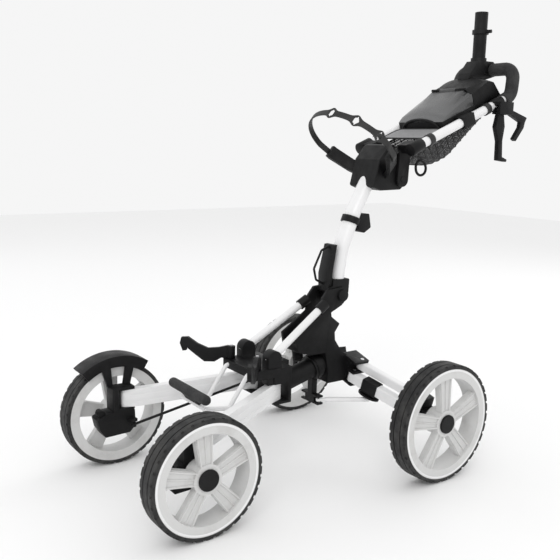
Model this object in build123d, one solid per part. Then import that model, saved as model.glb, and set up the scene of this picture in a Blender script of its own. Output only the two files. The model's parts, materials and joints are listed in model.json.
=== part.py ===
from build123d import *
import math
import os

# A four-wheeled folding golf push trolley. Everything is drawn in millimetres from the point on
# the ground under the front axle: +X to the trolley's left, +Y to the rear, +Z up. The finished
# pieces are moved along Y so that the origin is under the middle of the whole length.

# ---- Driving dimensions ----
FRONT_TRACK = 469.0        # between the middles of the front tyres
REAR_TRACK = 621.0         # between the middles of the rear tyres
WHEELBASE = 645.0
FRONT_WHEEL_D = 271.0
REAR_WHEEL_D = 305.0
TYRE_WIDTH = 52.0
HINGE_HEIGHT = 440.0       # fold hinge of the upright above the ground
HINGE_SETBACK = 105.0      # fold hinge in front of the rear axle
HANDLE_RISE = 308.0        # handle pivot above the fold hinge
HANDLE_REACH = 178.0       # handle pivot behind the fold hinge
HANDLE_LENGTH = 427.0      # straight part of the handle tubes
HANDLE_SPREAD = 200.0      # between the middles of the handle tubes
UPRIGHT_WIDTH = 48.0
UPRIGHT_DEPTH = 38.0
UPRIGHT_WALL = 2.5
HANDLE_TUBE_D = 26.0
HANDLE_WALL = 2.0
GRIP_D = 38.0
AXLE_D = 12.0
PIN_D = 10.0
SPINE_TUBE_D = 20.0
NOSE_TUBE_D = 54.0
RAIL_HEIGHT = 46.0
RAIL_THICKNESS = 22.0
ARM_HEIGHT = 30.0
ARM_WIDTH = 26.0
LINK_HEIGHT = 24.0
LINK_WIDTH = 20.0
UMBRELLA_TUBE_D = 38.0
UMBRELLA_BORE_D = 30.0
UMBRELLA_TUBE_LENGTH = 150.0
BAG_ARM_SPREAD = 118.0     # tip of each upper bag arm from the middle
LOWER_ARM_SPREAD = 160.0   # tip of each lower bag arm from the middle

# ---- Clearances and thicknesses ----
RUN_CLEAR = 0.05           # radial clearance of a pin in its bore
SIDE_CLEAR = 0.5           # between the cheeks of a fork and what turns in it
OPEN_CLEAR = 0.4           # radial clearance at a pivot that is left open
PLATE = 6.0                # fork plates
TYRE_DEPTH = 28.0
FLANGE_DROP = 10.5         # rim edge below the tread
FLANGE_T = 4.0
BARREL_T = 6.0
SPOKES = 5
SPOKE_START = 23.0         # degrees from straight back, rising
HUB_R = 14.0
HUB_CAP_R = 24.0
CAP_T = 6.0

UP = (Align.CENTER, Align.CENTER, Align.MIN)

front_r = FRONT_WHEEL_D / 2
rear_r = REAR_WHEEL_D / 2
axle_r = AXLE_D / 2
pin_r = PIN_D / 2
hinge_y = WHEELBASE - HINGE_SETBACK
hinge_z = HINGE_HEIGHT
handle_y = hinge_y + HANDLE_REACH
handle_z = HINGE_HEIGHT + HANDLE_RISE


def rod(start, end, radius):
    """Round bar from one point to another."""
    run = Vector(*end) - Vector(*start)
    return Plane(origin=start, z_dir=run) * Cylinder(radius, run.length, align=UP)


def block(x0, x1, y0, y1, z0, z1):
    """Rectangular block between the given limits."""
    middle = ((x0 + x1) / 2, (y0 + y1) / 2, (z0 + z1) / 2)
    return Pos(*middle) * Box(x1 - x0, y1 - y0, z1 - z0)


def side_plate(points, x0, x1, corner=0.0):
    """Plate with an outline of (y, z) points, between two values of X."""
    face = Polygon(*points, align=None)
    if corner > 0:
        face = fillet(face.vertices(), corner)
    return Pos(x0, 0, 0) * extrude(Plane.YZ * face, amount=x1 - x0, dir=(1, 0, 0))


def plan_plate(points, z0, z1, corner=0.0):
    """Plate with an outline of (x, y) points, between two heights."""
    face = Polygon(*points, align=None)
    if corner > 0:
        face = fillet(face.vertices(), corner)
    return Pos(0, 0, z0) * extrude(face, amount=z1 - z0, dir=(0, 0, 1))


def upright_pin(at, radius, z0, z1):
    """Vertical round pin or hole through a point in plan."""
    return Pos(at[0], at[1], z0) * Cylinder(radius, z1 - z0, align=UP)


def mirrored(part):
    return mirror(part, about=Plane.YZ)


pieces = {}


# ---- Wheels: tyre, five-spoke rim and a black hub with its cap, about the X axis ----
def wheel(diameter):
    radius = diameter / 2
    seat_r = radius - TYRE_DEPTH
    flange_r = radius - FLANGE_DROP
    half = TYRE_WIDTH / 2
    inner_r = seat_r - BARREL_T
    tyre = Cylinder(radius, TYRE_WIDTH) - Cylinder(seat_r, TYRE_WIDTH)
    shoulders = tyre.edges().filter_by(GeomType.CIRCLE).sort_by(SortBy.RADIUS)[-2:]
    tyre = fillet(shoulders, 7)
    barrel = Cylinder(seat_r, TYRE_WIDTH) - Cylinder(inner_r, TYRE_WIDTH)
    for side in (-1, 1):
        at = Pos(0, 0, side * (half - FLANGE_T / 2))
        tyre -= at * Cylinder(flange_r, FLANGE_T)
        barrel += at * (Cylinder(flange_r, FLANGE_T) - Cylinder(inner_r, FLANGE_T))
    rim = barrel + Cylinder(34, TYRE_WIDTH - 8)
    for k in range(SPOKES):
        turn = SPOKE_START + 90 + 360 / SPOKES * k
        outline = Polygon((15, -14), (seat_r - 3, -22), (seat_r - 3, 22), (15, 14), align=None)
        rim += Pos(0, 0, 2) * Rot(0, 0, turn) * extrude(outline, amount=16)
    hub_half = TYRE_WIDTH / 2 - 4
    rim -= Cylinder(HUB_R, TYRE_WIDTH + 2)
    hub = Pos(0, 0, -hub_half - 1) * Cylinder(HUB_R, 2 * hub_half + 1, align=UP)
    hub += Pos(0, 0, hub_half) * Cylinder(HUB_CAP_R, CAP_T, align=UP)
    hub -= Pos(0, 0, -hub_half - 1) * Cylinder(axle_r + RUN_CLEAR, 2 * hub_half - 1, align=UP)
    crown = hub.faces().sort_by(Axis.Z)[-1].edges()
    hub = fillet(crown, 2)
    return [Rot(0, 90, 0) * piece for piece in (tyre, rim, hub)]


def axle(x0, collar_x0, collar_x1, x1, y, z):
    """Stub axle with a spacing collar, lying along X."""
    return rod((x0, y, z), (x1, y, z), axle_r) + rod((collar_x0, y, z), (collar_x1, y, z), 10)


hub_inner = TYRE_WIDTH / 2 - 3     # inner end of the hub from the middle of the wheel
axle_in_hub = TYRE_WIDTH / 2 - 8
CARRIER_GAP = 29.0                 # middle of the wheel to the carrier's outer face

for name, track, diameter, y in (
    ("front", FRONT_TRACK, FRONT_WHEEL_D, 0.0),
    ("rear", REAR_TRACK, REAR_WHEEL_D, WHEELBASE),
):
    x = track / 2
    z = diameter / 2
    for kind, piece in zip(("tyre", "rim", "hub"), wheel(diameter)):
        left = Pos(x, y, z) * piece
        pieces[f"{name}_left_{kind}"] = left
        pieces[f"{name}_right_{kind}"] = mirrored(left)
    face = x - CARRIER_GAP
    stub = axle(face - 24, face, x - hub_inner - SIDE_CLEAR, x + axle_in_hub, y, z)
    pieces[f"{name}_left_axle"] = stub
    pieces[f"{name}_right_axle"] = mirrored(stub)

# ---- Front legs: a flat grooved rail and a tie rod to each wheel carrier ----
RAIL_IN = (52.0, 318.0)            # rail pivot on the crosshead, in plan
RAIL_IN_Z = 219.0
rail_out = (FRONT_TRACK / 2 - 54.5, 8.0)
rail_out_z = front_r + 52
TIE_OFFSET = (-30.0, 10.0)         # tie rod pivots from the rail pivots
TIE_IN_Z = 236.0
tie_out_z = front_r - 14
TIE_EYE_R = 7.0
TIE_PIN_R = 3.0
half_rail = RAIL_HEIGHT / 2

rail_run = Vector(RAIL_IN[0] - rail_out[0], RAIL_IN[1] - rail_out[1], 0)
rail_length = rail_run.length
plan = Plane(origin=(rail_out[0], rail_out[1], 0), x_dir=rail_run, z_dir=(0, 0, 1))
along = Plane(origin=plan.origin, x_dir=rail_run, z_dir=plan.y_dir * -1)


def rail_side(low, high):
    """Side outline of a rail between two heights above its middle line."""
    flat = 26.0
    stations = (-20.0, flat, rail_length - flat, rail_length + 20.0)
    ends = list(zip(stations, (rail_out_z, rail_out_z, RAIL_IN_Z, RAIL_IN_Z)))
    lower = [(s, z + low) for s, z in ends]
    upper = [(s, z + high) for s, z in reversed(ends)]
    return Polygon(*lower, *upper, align=None)


slot = Pos(rail_length / 2, 0) * SlotCenterToCenter(rail_length, RAIL_THICKNESS)
rail = plan * extrude(slot, amount=400)
rail &= along * extrude(rail_side(-half_rail, half_rail), amount=20, both=True)
for groove in (-9.0, 9.0):
    for face_side in (-1, 1):
        cut = along * extrude(rail_side(groove - 3, groove + 3), amount=2)
        rail -= Pos(*(plan.y_dir * (face_side * RAIL_THICKNESS / 2 + 1))) * cut
for end, z in ((rail_out, rail_out_z), (RAIL_IN, RAIL_IN_Z)):
    rail -= upright_pin(end, pin_r + RUN_CLEAR, z - 30, z + 30)
pieces["front_left_rail"] = rail
pieces["front_right_rail"] = mirrored(rail)

tie_in = (RAIL_IN[0] + TIE_OFFSET[0], RAIL_IN[1] + TIE_OFFSET[1], TIE_IN_Z)
tie_out = (rail_out[0] + TIE_OFFSET[0], rail_out[1] + TIE_OFFSET[1], tie_out_z)
tie = rod(tie_out, tie_in, 3.5)
for at in (tie_in, tie_out):
    tie -= upright_pin(at, TIE_EYE_R, at[2] - 8, at[2] + 8)
for at, bore in ((tie_in, TIE_PIN_R + RUN_CLEAR), (tie_out, TIE_PIN_R + OPEN_CLEAR)):
    eye = upright_pin(at, TIE_EYE_R, at[2] - 5, at[2] + 5)
    tie += eye - upright_pin(at, bore, at[2] - 6, at[2] + 6)
pieces["front_left_tie_rod"] = tie
pieces["front_right_tie_rod"] = mirrored(tie)

# Front wheel carriers: a fork on the rail's outer pin and a housing that holds the stub axle.
carrier_face = FRONT_TRACK / 2 - CARRIER_GAP
bx, by = rail_out
low_z = rail_out_z - half_rail - SIDE_CLEAR
high_z = rail_out_z + half_rail + SIDE_CLEAR
fork = block(bx - 17, carrier_face, by - 38, by + 22, low_z - PLATE, low_z)
fork += block(bx - 17, carrier_face, by - 38, by + 22, high_z, high_z + PLATE)
fork += block(bx + 13, carrier_face, by - 38, by + 22, low_z - PLATE, high_z + PLATE)
fork += block(bx - 17, carrier_face, by - 38, by - 20, low_z - PLATE, high_z + PLATE)
corners = fork.edges().filter_by(Axis.Z).group_by(Axis.X)[0]
fork = fillet(corners, 6)
housing = side_plate(
    [
        (-52, front_r - 40), (14, front_r - 38), (30, front_r - 22), (28, low_z - PLATE),
        (-44, low_z - PLATE), (-72, front_r + 8), (-66, front_r - 18),
    ],
    carrier_face - 42, carrier_face, corner=4,
)
carrier = fork + housing
lever_z = tie_out_z + 8.5
carrier += plan_plate(
    [
        (tie_out[0] - 9, tie_out[1] - 9), (tie_out[0] + 24, tie_out[1] - 14),
        (tie_out[0] + 24, tie_out[1] + 6), (tie_out[0] - 4, tie_out[1] + 10),
    ],
    lever_z, lever_z + 7, corner=3,
)
carrier += upright_pin(tie_out, TIE_PIN_R, tie_out_z - 6, lever_z + 1)
carrier += upright_pin(rail_out, pin_r, low_z - PLATE, high_z + PLATE)
carrier += rod((carrier_face - 36, -58, front_r + 20), (carrier_face - 12, -58, front_r + 20), 9)
carrier -= rod((carrier_face - 24, 0, front_r), (carrier_face + 1, 0, front_r), axle_r)
pieces["front_left_carrier"] = carrier

# The right carrier also bears the curved guard that stands over its tyre.
GUARD_R = front_r + 14.0
GUARD_T = 7.0
GUARD_FROM = 58.0                  # degrees from straight back
GUARD_TO = 128.0


def guard_band(inner, outer, x0, x1):
    sector = Polygon(
        (0, 0),
        *[
            (2 * outer * math.cos(math.radians(a)), 2 * outer * math.sin(math.radians(a)))
            for a in (GUARD_FROM, (GUARD_FROM + GUARD_TO) / 2, GUARD_TO)
        ],
        align=None,
    )
    ring = (Circle(outer) - Circle(inner)) & sector
    return Pos(x0, 0, front_r) * extrude(Plane.YZ * ring, amount=x1 - x0)


guard_in = carrier_face - 8
guard = guard_band(GUARD_R, GUARD_R + GUARD_T, guard_in, FRONT_TRACK / 2 + TYRE_WIDTH / 2)
guard += guard_band(GUARD_R - 20, GUARD_R + GUARD_T, guard_in, guard_in + 7)
strut_top = GUARD_R - 12
guard += side_plate(
    [(by - 38, high_z), (by - 24, high_z), (-22, front_r + strut_top), (-46, front_r + strut_top - 6)],
    guard_in, guard_in + 10,
)
guard += side_plate(
    [(by + 4, high_z), (by + 22, high_z), (44, front_r + strut_top - 4), (22, front_r + strut_top)],
    guard_in, guard_in + 10,
)
pieces["front_right_carrier"] = mirrored(carrier + guard)

# ---- Rear legs: arm and link side by side, turning about pins that lean outwards ----
ARM_IN = (52.0, WHEELBASE - 70, 213.0)
arm_out = (REAR_TRACK / 2 - 72.5, WHEELBASE - 21, rear_r + 7.1)
LINK_SIDE = 20.0                   # link pivots behind the arm pivots
LINK_UP = ARM_HEIGHT / 2 + LINK_HEIGHT / 2 + 6
arm_dx = arm_out[0] - ARM_IN[0]
arm_dy = arm_out[1] - ARM_IN[1]
arm_dz = arm_out[2] - ARM_IN[2]
lean = math.atan2(-arm_dz, arm_dx)
arm_plane = Plane(
    origin=ARM_IN, x_dir=(math.cos(lean), 0, -math.sin(lean)), z_dir=(math.sin(lean), 0, math.cos(lean))
)
arm_e1 = math.hypot(arm_dx, arm_dz)
arm_length = math.hypot(arm_e1, arm_dy)
arm_turn = math.degrees(math.atan2(arm_dy, arm_e1))


def leg_bar(width, height, side, up):
    """Bar with round ends between the inner and outer pin lines, bored at both."""
    bar = Pos(arm_length / 2, 0) * SlotCenterToCenter(arm_length, width)
    solid = extrude(bar, amount=height / 2, both=True)
    solid = fillet(solid.edges(), 4)
    for s in (0, arm_length):
        solid -= Pos(s, 0, 0) * Cylinder(pin_r + RUN_CLEAR, height + 2)
    return arm_plane * (Pos(0, side, up) * (Rot(0, 0, arm_turn) * solid))


arm = leg_bar(ARM_WIDTH, ARM_HEIGHT, 0, 0)
pieces["rear_left_arm"] = arm
pieces["rear_right_arm"] = mirrored(arm)
link = leg_bar(LINK_WIDTH, LINK_HEIGHT, LINK_SIDE, LINK_UP)
pieces["rear_left_link"] = link
pieces["rear_right_link"] = mirrored(link)

fork_low = -ARM_HEIGHT / 2 - SIDE_CLEAR
fork_high = LINK_UP + LINK_HEIGHT / 2 + SIDE_CLEAR

# Clamp on each arm with a lip below it, over the end of the strut.
CLAMP_AT = 64.0
CLAMP_LENGTH = 46.0
clamp_wall = 3.0
LIP_DROP = 27.0
clamp = Box(CLAMP_LENGTH, ARM_WIDTH + 2 * clamp_wall, ARM_HEIGHT + 2 * clamp_wall + 1)
clamp = Pos(CLAMP_AT, 0, -0.5) * clamp
clamp = fillet(clamp.edges().filter_by(Axis.X), 4)
clamp -= Pos(CLAMP_AT, 0, 0) * Box(CLAMP_LENGTH + 2, ARM_WIDTH, ARM_HEIGHT)
lens = Pos(CLAMP_AT, -4) * Ellipse(32, 17)
clamp += Pos(0, 0, -LIP_DROP) * extrude(lens, amount=5)
clamp += Pos(CLAMP_AT, -2, -LIP_DROP + 4) * Cylinder(11, LIP_DROP - 4 - ARM_HEIGHT / 2 - 2, align=UP)
clamp = arm_plane * (Rot(0, 0, arm_turn) * clamp)
pieces["rear_left_clamp"] = clamp
pieces["rear_right_clamp"] = mirrored(clamp)

MID_PLATE_Z = ARM_HEIGHT / 2 + SIDE_CLEAR
MID_PLATE_T = LINK_UP - LINK_HEIGHT / 2 - SIDE_CLEAR - MID_PLATE_Z
LEVELS = (
    (fork_low - PLATE, fork_low),
    (MID_PLATE_Z, MID_PLATE_Z + MID_PLATE_T),
    (fork_high, fork_high + PLATE),
)


def leaning_fork(x_back, x_tip, web):
    """Three plates, above, between and below arm and link, and the web that joins them."""
    x0, x1 = sorted((x_back, x_tip))
    fork = block(min(web), max(web), -15, 35, LEVELS[0][0], LEVELS[2][1])
    for z0, z1 in LEVELS:
        fork += plan_plate([(x0, -15), (x1, -15), (x1, 35), (x0, 35)], z0, z1, corner=5)
    return fork


arm_pin = Pos(0, 0, LEVELS[0][0]) * Cylinder(pin_r, LEVELS[1][1] - LEVELS[0][0], align=UP)
link_pin = Pos(0, LINK_SIDE, LEVELS[1][0]) * Cylinder(pin_r, LEVELS[2][1] - LEVELS[1][0], align=UP)

# Rear wheel carriers: a leaning fork on the outer pins and a housing for the stub axle.
out_plane = Plane(origin=arm_out, x_dir=arm_plane.x_dir, z_dir=arm_plane.z_dir)
rear_face = REAR_TRACK / 2 - CARRIER_GAP
rear_carrier = out_plane * (leaning_fork(-14, 24, (14.5, 24)) + arm_pin + link_pin)
rear_carrier += block(
    rear_face - 26, rear_face, WHEELBASE - 24, WHEELBASE + 22, rear_r - 24, rear_r + 22
)
rear_carrier -= rod((rear_face - 24, WHEELBASE, rear_r), (rear_face + 1, WHEELBASE, rear_r), axle_r)
pieces["rear_left_carrier"] = rear_carrier
pieces["rear_right_carrier"] = mirrored(rear_carrier)

# ---- Nose tube, and the ring that slides on it and steers the rear arms through two struts ----
NOSE_FRONT = (0.0, 348.0, 209.0)
nose_rear = (0.0, hinge_y - 20, 255.0)
nose_r = NOSE_TUBE_D / 2
nose_axis = (Vector(*nose_rear) - Vector(*NOSE_FRONT)).normalized()
STRUT_IN = (28.0, hinge_y - 64, 157.0)
STRUT_R = 6.5
NECK_R = 4.0
BALL_R = 7.0
BALL_BORE_R = 2.0
SWING_AXIS = (0.57224, -0.39604, 0.71812)   # the strut's turning axis in its ball
STRUT_DROP = LIP_DROP + 11
strut_local = Rot(0, 0, arm_turn) * Pos(CLAMP_AT, -4, -STRUT_DROP)
strut_out = tuple((arm_plane.location * strut_local).position)
strut_dir = (Vector(*strut_out) - Vector(*STRUT_IN)).normalized()
neck_end = tuple(Vector(*STRUT_IN) + strut_dir * 18)
strut = rod(STRUT_IN, neck_end, NECK_R) + rod(neck_end, strut_out, STRUT_R)
strut += Pos(*STRUT_IN) * Sphere(BALL_R)
strut -= Plane(origin=STRUT_IN, z_dir=SWING_AXIS) * Cylinder(BALL_BORE_R, 4 * BALL_R)
strut += Pos(*strut_out) * Sphere(STRUT_R)
pieces["rear_left_strut"] = strut
pieces["rear_right_strut"] = mirrored(strut)

RING_AT = 132.5                    # middle of the ring from the front end of the nose tube
RING_LENGTH = 26.0
RING_WALL = 6.7
JAW_T = 5.0                        # plates above and below each ball
JAW_GAP = 0.3
ring_middle = Vector(*NOSE_FRONT) + nose_axis * RING_AT
ring_plane = Plane(origin=ring_middle, x_dir=(1, 0, 0), z_dir=nose_axis)
sx, sy, sz = STRUT_IN
jaw = BALL_R + JAW_GAP
ring = ring_plane * Cylinder(nose_r + RING_WALL, RING_LENGTH)
ring += ring_plane * Cylinder(nose_r + RING_WALL + 2, RING_LENGTH - 14)
ring += block(-9, 9, sy - 9, sy + 9, sz - jaw, sz + 70)
ring += block(-sx + 9, sx - 9, sy - 9, sy + 9, sz - jaw - JAW_T, sz + jaw + JAW_T)
for z0 in (sz - jaw - JAW_T, sz + jaw):
    ring += block(-sx - 8, sx + 8, sy - 9, sy + 9, z0, z0 + JAW_T)
ring -= ring_plane * Cylinder(nose_r + RUN_CLEAR, RING_LENGTH + 60)
pieces["fold_slider"] = ring

# ---- Main housing: a core with the nose tube and leg forks, and two cheeks up to the hinge ----
CORE_HALF = 26.0
CHEEK_T = 8.0
CORE_TOP = 322.0
cheek_half = CORE_HALF + CHEEK_T
hy = hinge_y
hz = hinge_z
housing_side = [
    (hy - 142, 300), (hy - 150, 343), (hy - 72, 394), (hy - 66, hz - 4), (hy - 48, hz + 18),
    (hy + 5, hz + 22), (hy + 20, hz + 10), (hy + 20, hz - 10), (hy, hz - 28), (hy - 35, 396),
    (hy - 33, 384), (hy - 4, 362), (hy - 20, 340), (hy - 18, 318), (hy + 8, 282), (hy + 45, 262),
    (hy + 45, 200), (hy - 38, 200), (hy - 38, 232), (hy - 50, 287), (hy - 100, 287),
]
nose = rod(NOSE_FRONT, nose_rear, nose_r)
spine_top = (38.0, hy - 65, hz - 20)
SPINE_FOOT = (61.5, 282.0, 298.5)
spine_r = SPINE_TUBE_D / 2
spine_left = rod(SPINE_FOOT, spine_top, spine_r)
HINGE_PIN_R = 5.0
hinge_pin = rod((-cheek_half, hy, hz), (cheek_half, hy, hz), HINGE_PIN_R)
main_housing = side_plate(housing_side, -cheek_half, cheek_half, corner=3)
main_housing += rod((-cheek_half - 8, hy, hz), (cheek_half + 8, hy, hz), 16)
main_housing -= block(-CORE_HALF, CORE_HALF, hy - 160, hy + 30, CORE_TOP, hz + 40)
inner_fork = arm_plane * leaning_fork(-46, 14, (-46, -14.5))
main_housing += nose
for fork_part in (inner_fork, mirrored(inner_fork)):
    main_housing += fork_part
inner_pins = arm_plane * (arm_pin + link_pin)
for cut in (inner_pins, mirrored(inner_pins), spine_left, mirrored(spine_left), hinge_pin):
    main_housing -= cut
pieces["main_housing"] = main_housing

# White spine tubes from the crosshead up to the hinge, and the sockets round their upper ends.
pieces["spine_tubes"] = Compound([spine_left, mirrored(spine_left)])
spine_dir = (Vector(*spine_top) - Vector(*SPINE_FOOT)).normalized()
socket_low = tuple(Vector(*spine_top) - spine_dir * 24)
socket_high = tuple(Vector(*spine_top) + spine_dir * 6)
socket = rod(socket_low, socket_high, spine_r + 4) - spine_left - main_housing
pieces["spine_sockets"] = Compound([socket, mirrored(socket)])

# ---- Crosshead: holds the rails, the tie rods, the spine tubes, the bag arms and the nose ----
CROSS_HALF = 78.0
CROSS_TOP = 284.0
rail_low = RAIL_IN_Z - half_rail - SIDE_CLEAR
rail_high = RAIL_IN_Z + half_rail + SIDE_CLEAR
cross_back = RAIL_IN[1] + 28
LUG_Y = 297.0
lug_at = (LUG_Y - SPINE_FOOT[1]) / (spine_top[1] - SPINE_FOOT[1])
lug_x = SPINE_FOOT[0] + lug_at * (spine_top[0] - SPINE_FOOT[0])
lug_z = SPINE_FOOT[2] + lug_at * (spine_top[2] - SPINE_FOOT[2])
LOWER_ARM_ROOT = (60.0, 252.0)
crosshead = block(-CROSS_HALF, CROSS_HALF, 292, cross_back, rail_high, CROSS_TOP)
crosshead += block(-CROSS_HALF, CROSS_HALF, 236, 294, CROSS_TOP - 22, CROSS_TOP)
crosshead = fillet(crosshead.edges().filter_by(Axis.Z), 6)
crosshead += block(-CROSS_HALF, CROSS_HALF, cross_back - 8, cross_back, rail_low - PLATE, CROSS_TOP)
crosshead += block(-30, 30, cross_back - 8, cross_back + 26, rail_low - PLATE, CROSS_TOP)
for side in (-1, 1):
    x0, x1 = sorted((side * 30, side * CROSS_HALF))
    crosshead += block(x0, x1, 296, cross_back, rail_low - PLATE, rail_low)
    x = side * lug_x
    crosshead += block(x - 14, x + 14, LUG_Y - 20, LUG_Y + 20, rail_high, lug_z)
    crosshead += rod((x - 14, LUG_Y, lug_z), (x + 14, LUG_Y, lug_z), 20)
crosshead -= nose

# ---- Steel pins held by the chassis ----
pins = [
    upright_pin(RAIL_IN, pin_r, rail_low - PLATE, rail_high + 12),
    upright_pin(tie_in, TIE_PIN_R, TIE_IN_Z - 6, rail_high + 12),
    upright_pin(LOWER_ARM_ROOT, 4, CROSS_TOP - 18, CROSS_TOP + 36),
    inner_pins,
]
pins += [mirrored(pin) for pin in pins]
for cut in (*pins, spine_left, mirrored(spine_left)):
    crosshead -= cut
pins.append(hinge_pin)
solids = []
for pin in pins:
    solids += pin.solids()
pieces["crosshead"] = crosshead
pieces["pivot_pins"] = Compound(solids)

# ---- Rest for the foot of the bag: a bent frame and a rubber pad across it ----
REST_X = 50.0
REST_R = 5.5
PAD_Y = 95.0
PAD_Z = 240.0
PAD_R = 12.5
PAD_HALF = 92.0
rest_line = FilletPolyline(
    (REST_X, 242, 273), (REST_X, 230, 271), (REST_X, 178, 195), (REST_X, 108, 207), radius=12
)
rest_leg = sweep(Plane(origin=rest_line @ 0, z_dir=rest_line % 0) * Circle(REST_R), path=rest_line)
rest_bar = rod((-60, 110, 207), (60, 110, 207), 6)
rest_frame = rest_leg + mirrored(rest_leg) + rest_bar - crosshead
pad = rod((-PAD_HALF, PAD_Y, PAD_Z), (PAD_HALF, PAD_Y, PAD_Z), PAD_R)
pad = fillet(pad.edges().filter_by(GeomType.CIRCLE), PAD_R - 1.5)
pad += side_plate([(PAD_Y - 9, PAD_Z - 6), (106, 208), (114, 208), (PAD_Y + 9, PAD_Z - 6)], -34, 34)
pieces["bag_rest_frame"] = rest_frame
pieces["bag_rest_pad"] = pad - rest_frame

# ---- Lower bag arms: curved saddles that swing on the crosshead's front corners ----
arm_run = Vector(LOWER_ARM_SPREAD - LOWER_ARM_ROOT[0], 163.0 - LOWER_ARM_ROOT[1], 0)
reach = arm_run.length
saddle_plane = Plane(
    origin=(*LOWER_ARM_ROOT, CROSS_TOP + SIDE_CLEAR), x_dir=arm_run,
    z_dir=Vector(0, 0, 1).cross(arm_run) * -1,
)
saddle = Polygon(
    (-9, 0), (26, 0), (44, -12), (72, -14), (96, 2), (reach - 10, 22), (reach - 12, 12), (reach - 2, 10),
    (reach + 6, 30), (reach + 2, 46), (reach - 16, 48), (92, 32), (64, 22), (36, 26), (12, 33), (-9, 33),
    align=None,
)
lower_arm = saddle_plane * extrude(saddle, amount=5, both=True)
lower_arm += upright_pin(LOWER_ARM_ROOT, 10, CROSS_TOP + SIDE_CLEAR, CROSS_TOP + 33)
lower_arm -= upright_pin(LOWER_ARM_ROOT, 4 + RUN_CLEAR, CROSS_TOP - 10, CROSS_TOP + 50)
pieces["lower_left_bag_arm"] = lower_arm
pieces["lower_right_bag_arm"] = mirrored(lower_arm)

# ---- Upright: bent oval tube, its foot with the latch lever, and the fold catch ----
upright_line = FilletPolyline(
    (0, hy + 2, hz + 12), (0, hy + 17, hz + 120), (0, hy + 60, hz + 225), (0, hy + 105, hz + 305), radius=150
)
start_plane = Plane(origin=upright_line @ 0, x_dir=(1, 0, 0), z_dir=upright_line % 0)
oval = Ellipse(UPRIGHT_WIDTH / 2, UPRIGHT_DEPTH / 2)
bore = Ellipse(UPRIGHT_WIDTH / 2 - UPRIGHT_WALL, UPRIGHT_DEPTH / 2 - UPRIGHT_WALL)
upright_solid = sweep(start_plane * oval, path=upright_line)
pieces["upright_tube"] = upright_solid - sweep(start_plane * bore, path=upright_line)

foot_half = CORE_HALF - SIDE_CLEAR
foot = side_plate(
    [
        (hy - 25, hz - 14), (hy - 25, hz + 42), (hy + 32, hz + 42), (hy + 30, hz + 4), (hy + 14, hz - 26),
        (hy - 14, hz - 26),
    ],
    -foot_half, foot_half, corner=5,
)
LATCH_HALF = 21.0
LATCH_BARREL_R = 6.2
ly = hy - 32
lz = hz + 12
for x0, x1 in ((-foot_half, -LATCH_HALF - SIDE_CLEAR), (LATCH_HALF + SIDE_CLEAR, foot_half)):
    foot += side_plate(
        [(ly - 8, lz - 6), (ly - 8, lz + 8), (ly + 9, lz + 14), (ly + 9, lz - 12)], x0, x1, corner=2
    )
foot += rod((-foot_half, ly, lz), (foot_half, ly, lz), 3)
foot -= upright_solid
foot -= rod((-30, hy, hz), (30, hy, hz), HINGE_PIN_R + RUN_CLEAR)
pieces["upright_foot"] = foot

leaf = Polygon(
    (ly - 6, lz - 1), (ly - 8, lz + 44), (ly + 10, lz + 122), (ly + 20, lz + 123), (ly + 7, lz + 44),
    (ly + 6, lz - 1),
    align=None,
)
lever = extrude(Plane.YZ * leaf, amount=LATCH_HALF, both=True)
lever += rod((-LATCH_HALF, ly, lz), (LATCH_HALF, ly, lz), LATCH_BARREL_R)
loop_line = FilletPolyline(
    (0, ly + 10, lz + 118), (0, ly - 16, lz + 108), (0, ly - 40, lz + 60), (0, ly - 32, lz + 30),
    (0, ly - 4, lz + 16),
    radius=8,
)
lever += sweep(Plane(origin=loop_line @ 0, z_dir=loop_line % 0) * Circle(3), path=loop_line)
lever -= upright_solid
lever -= rod((-30, ly, lz), (30, ly, lz), 3 + RUN_CLEAR)
pieces["latch_lever"] = lever

catch_plane = Plane(origin=(0, hy + 48.5, hz + 197), x_dir=(1, 0, 0), z_dir=(0, 43, 105))
band = extrude(Ellipse(UPRIGHT_WIDTH / 2 + 4, UPRIGHT_DEPTH / 2 + 4), amount=9, both=True)
clip = side_plate(
    [
        (hy + 64, hz + 168), (hy + 60, hz + 214), (hy + 100, hz + 214), (hy + 108, hz + 176),
        (hy + 84, hz + 162),
    ],
    -18, 18, corner=5,
)
pieces["fold_catch"] = catch_plane * band + clip - upright_solid

# ---- Upper bag bracket with its two arms, and the rubber strap between their tips ----
BRACKET_HALF = 50.0
STUD_R = 8.0
py = handle_y
pz = handle_z
YOKE_T = 11.5
bracket_side = [
    (py - 96, pz - 20), (py - 68, pz - 30), (py + 4, pz - 28), (py + 24, pz - 10), (py + 24, pz + 14),
    (py - 2, pz + 52), (py - 28, pz + 94), (py - 46, pz + 90), (py - 78, pz + 52),
]
bracket = side_plate(bracket_side, -BRACKET_HALF, BRACKET_HALF, corner=7)
sides = bracket.faces().sort_by(Axis.X)
bracket = fillet(sides[0].edges() + sides[-1].edges(), 3)
stud_half = BRACKET_HALF + SIDE_CLEAR + YOKE_T
bracket += rod((-stud_half, py, pz), (stud_half, py, pz), STUD_R)
strap_plane = Plane(origin=(0, py - 106, pz + 67), x_dir=(1, 0, 0), z_dir=(0, 0.634, 0.773))
tip = BAG_ARM_SPREAD
for side in (-1, 1):
    outline = Polygon(
        (side * 30, 88), (side * 48, 84), (side * 84, 58), (side * (tip + 6), 6), (side * (tip + 8), -6),
        (side * (tip - 4), -8), (side * (tip - 8), 2), (side * 78, 48), (side * 44, 70), (side * 30, 72),
        align=None,
    )
    bracket += strap_plane * extrude(outline, amount=17.5, both=True)
bracket -= upright_solid

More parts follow.
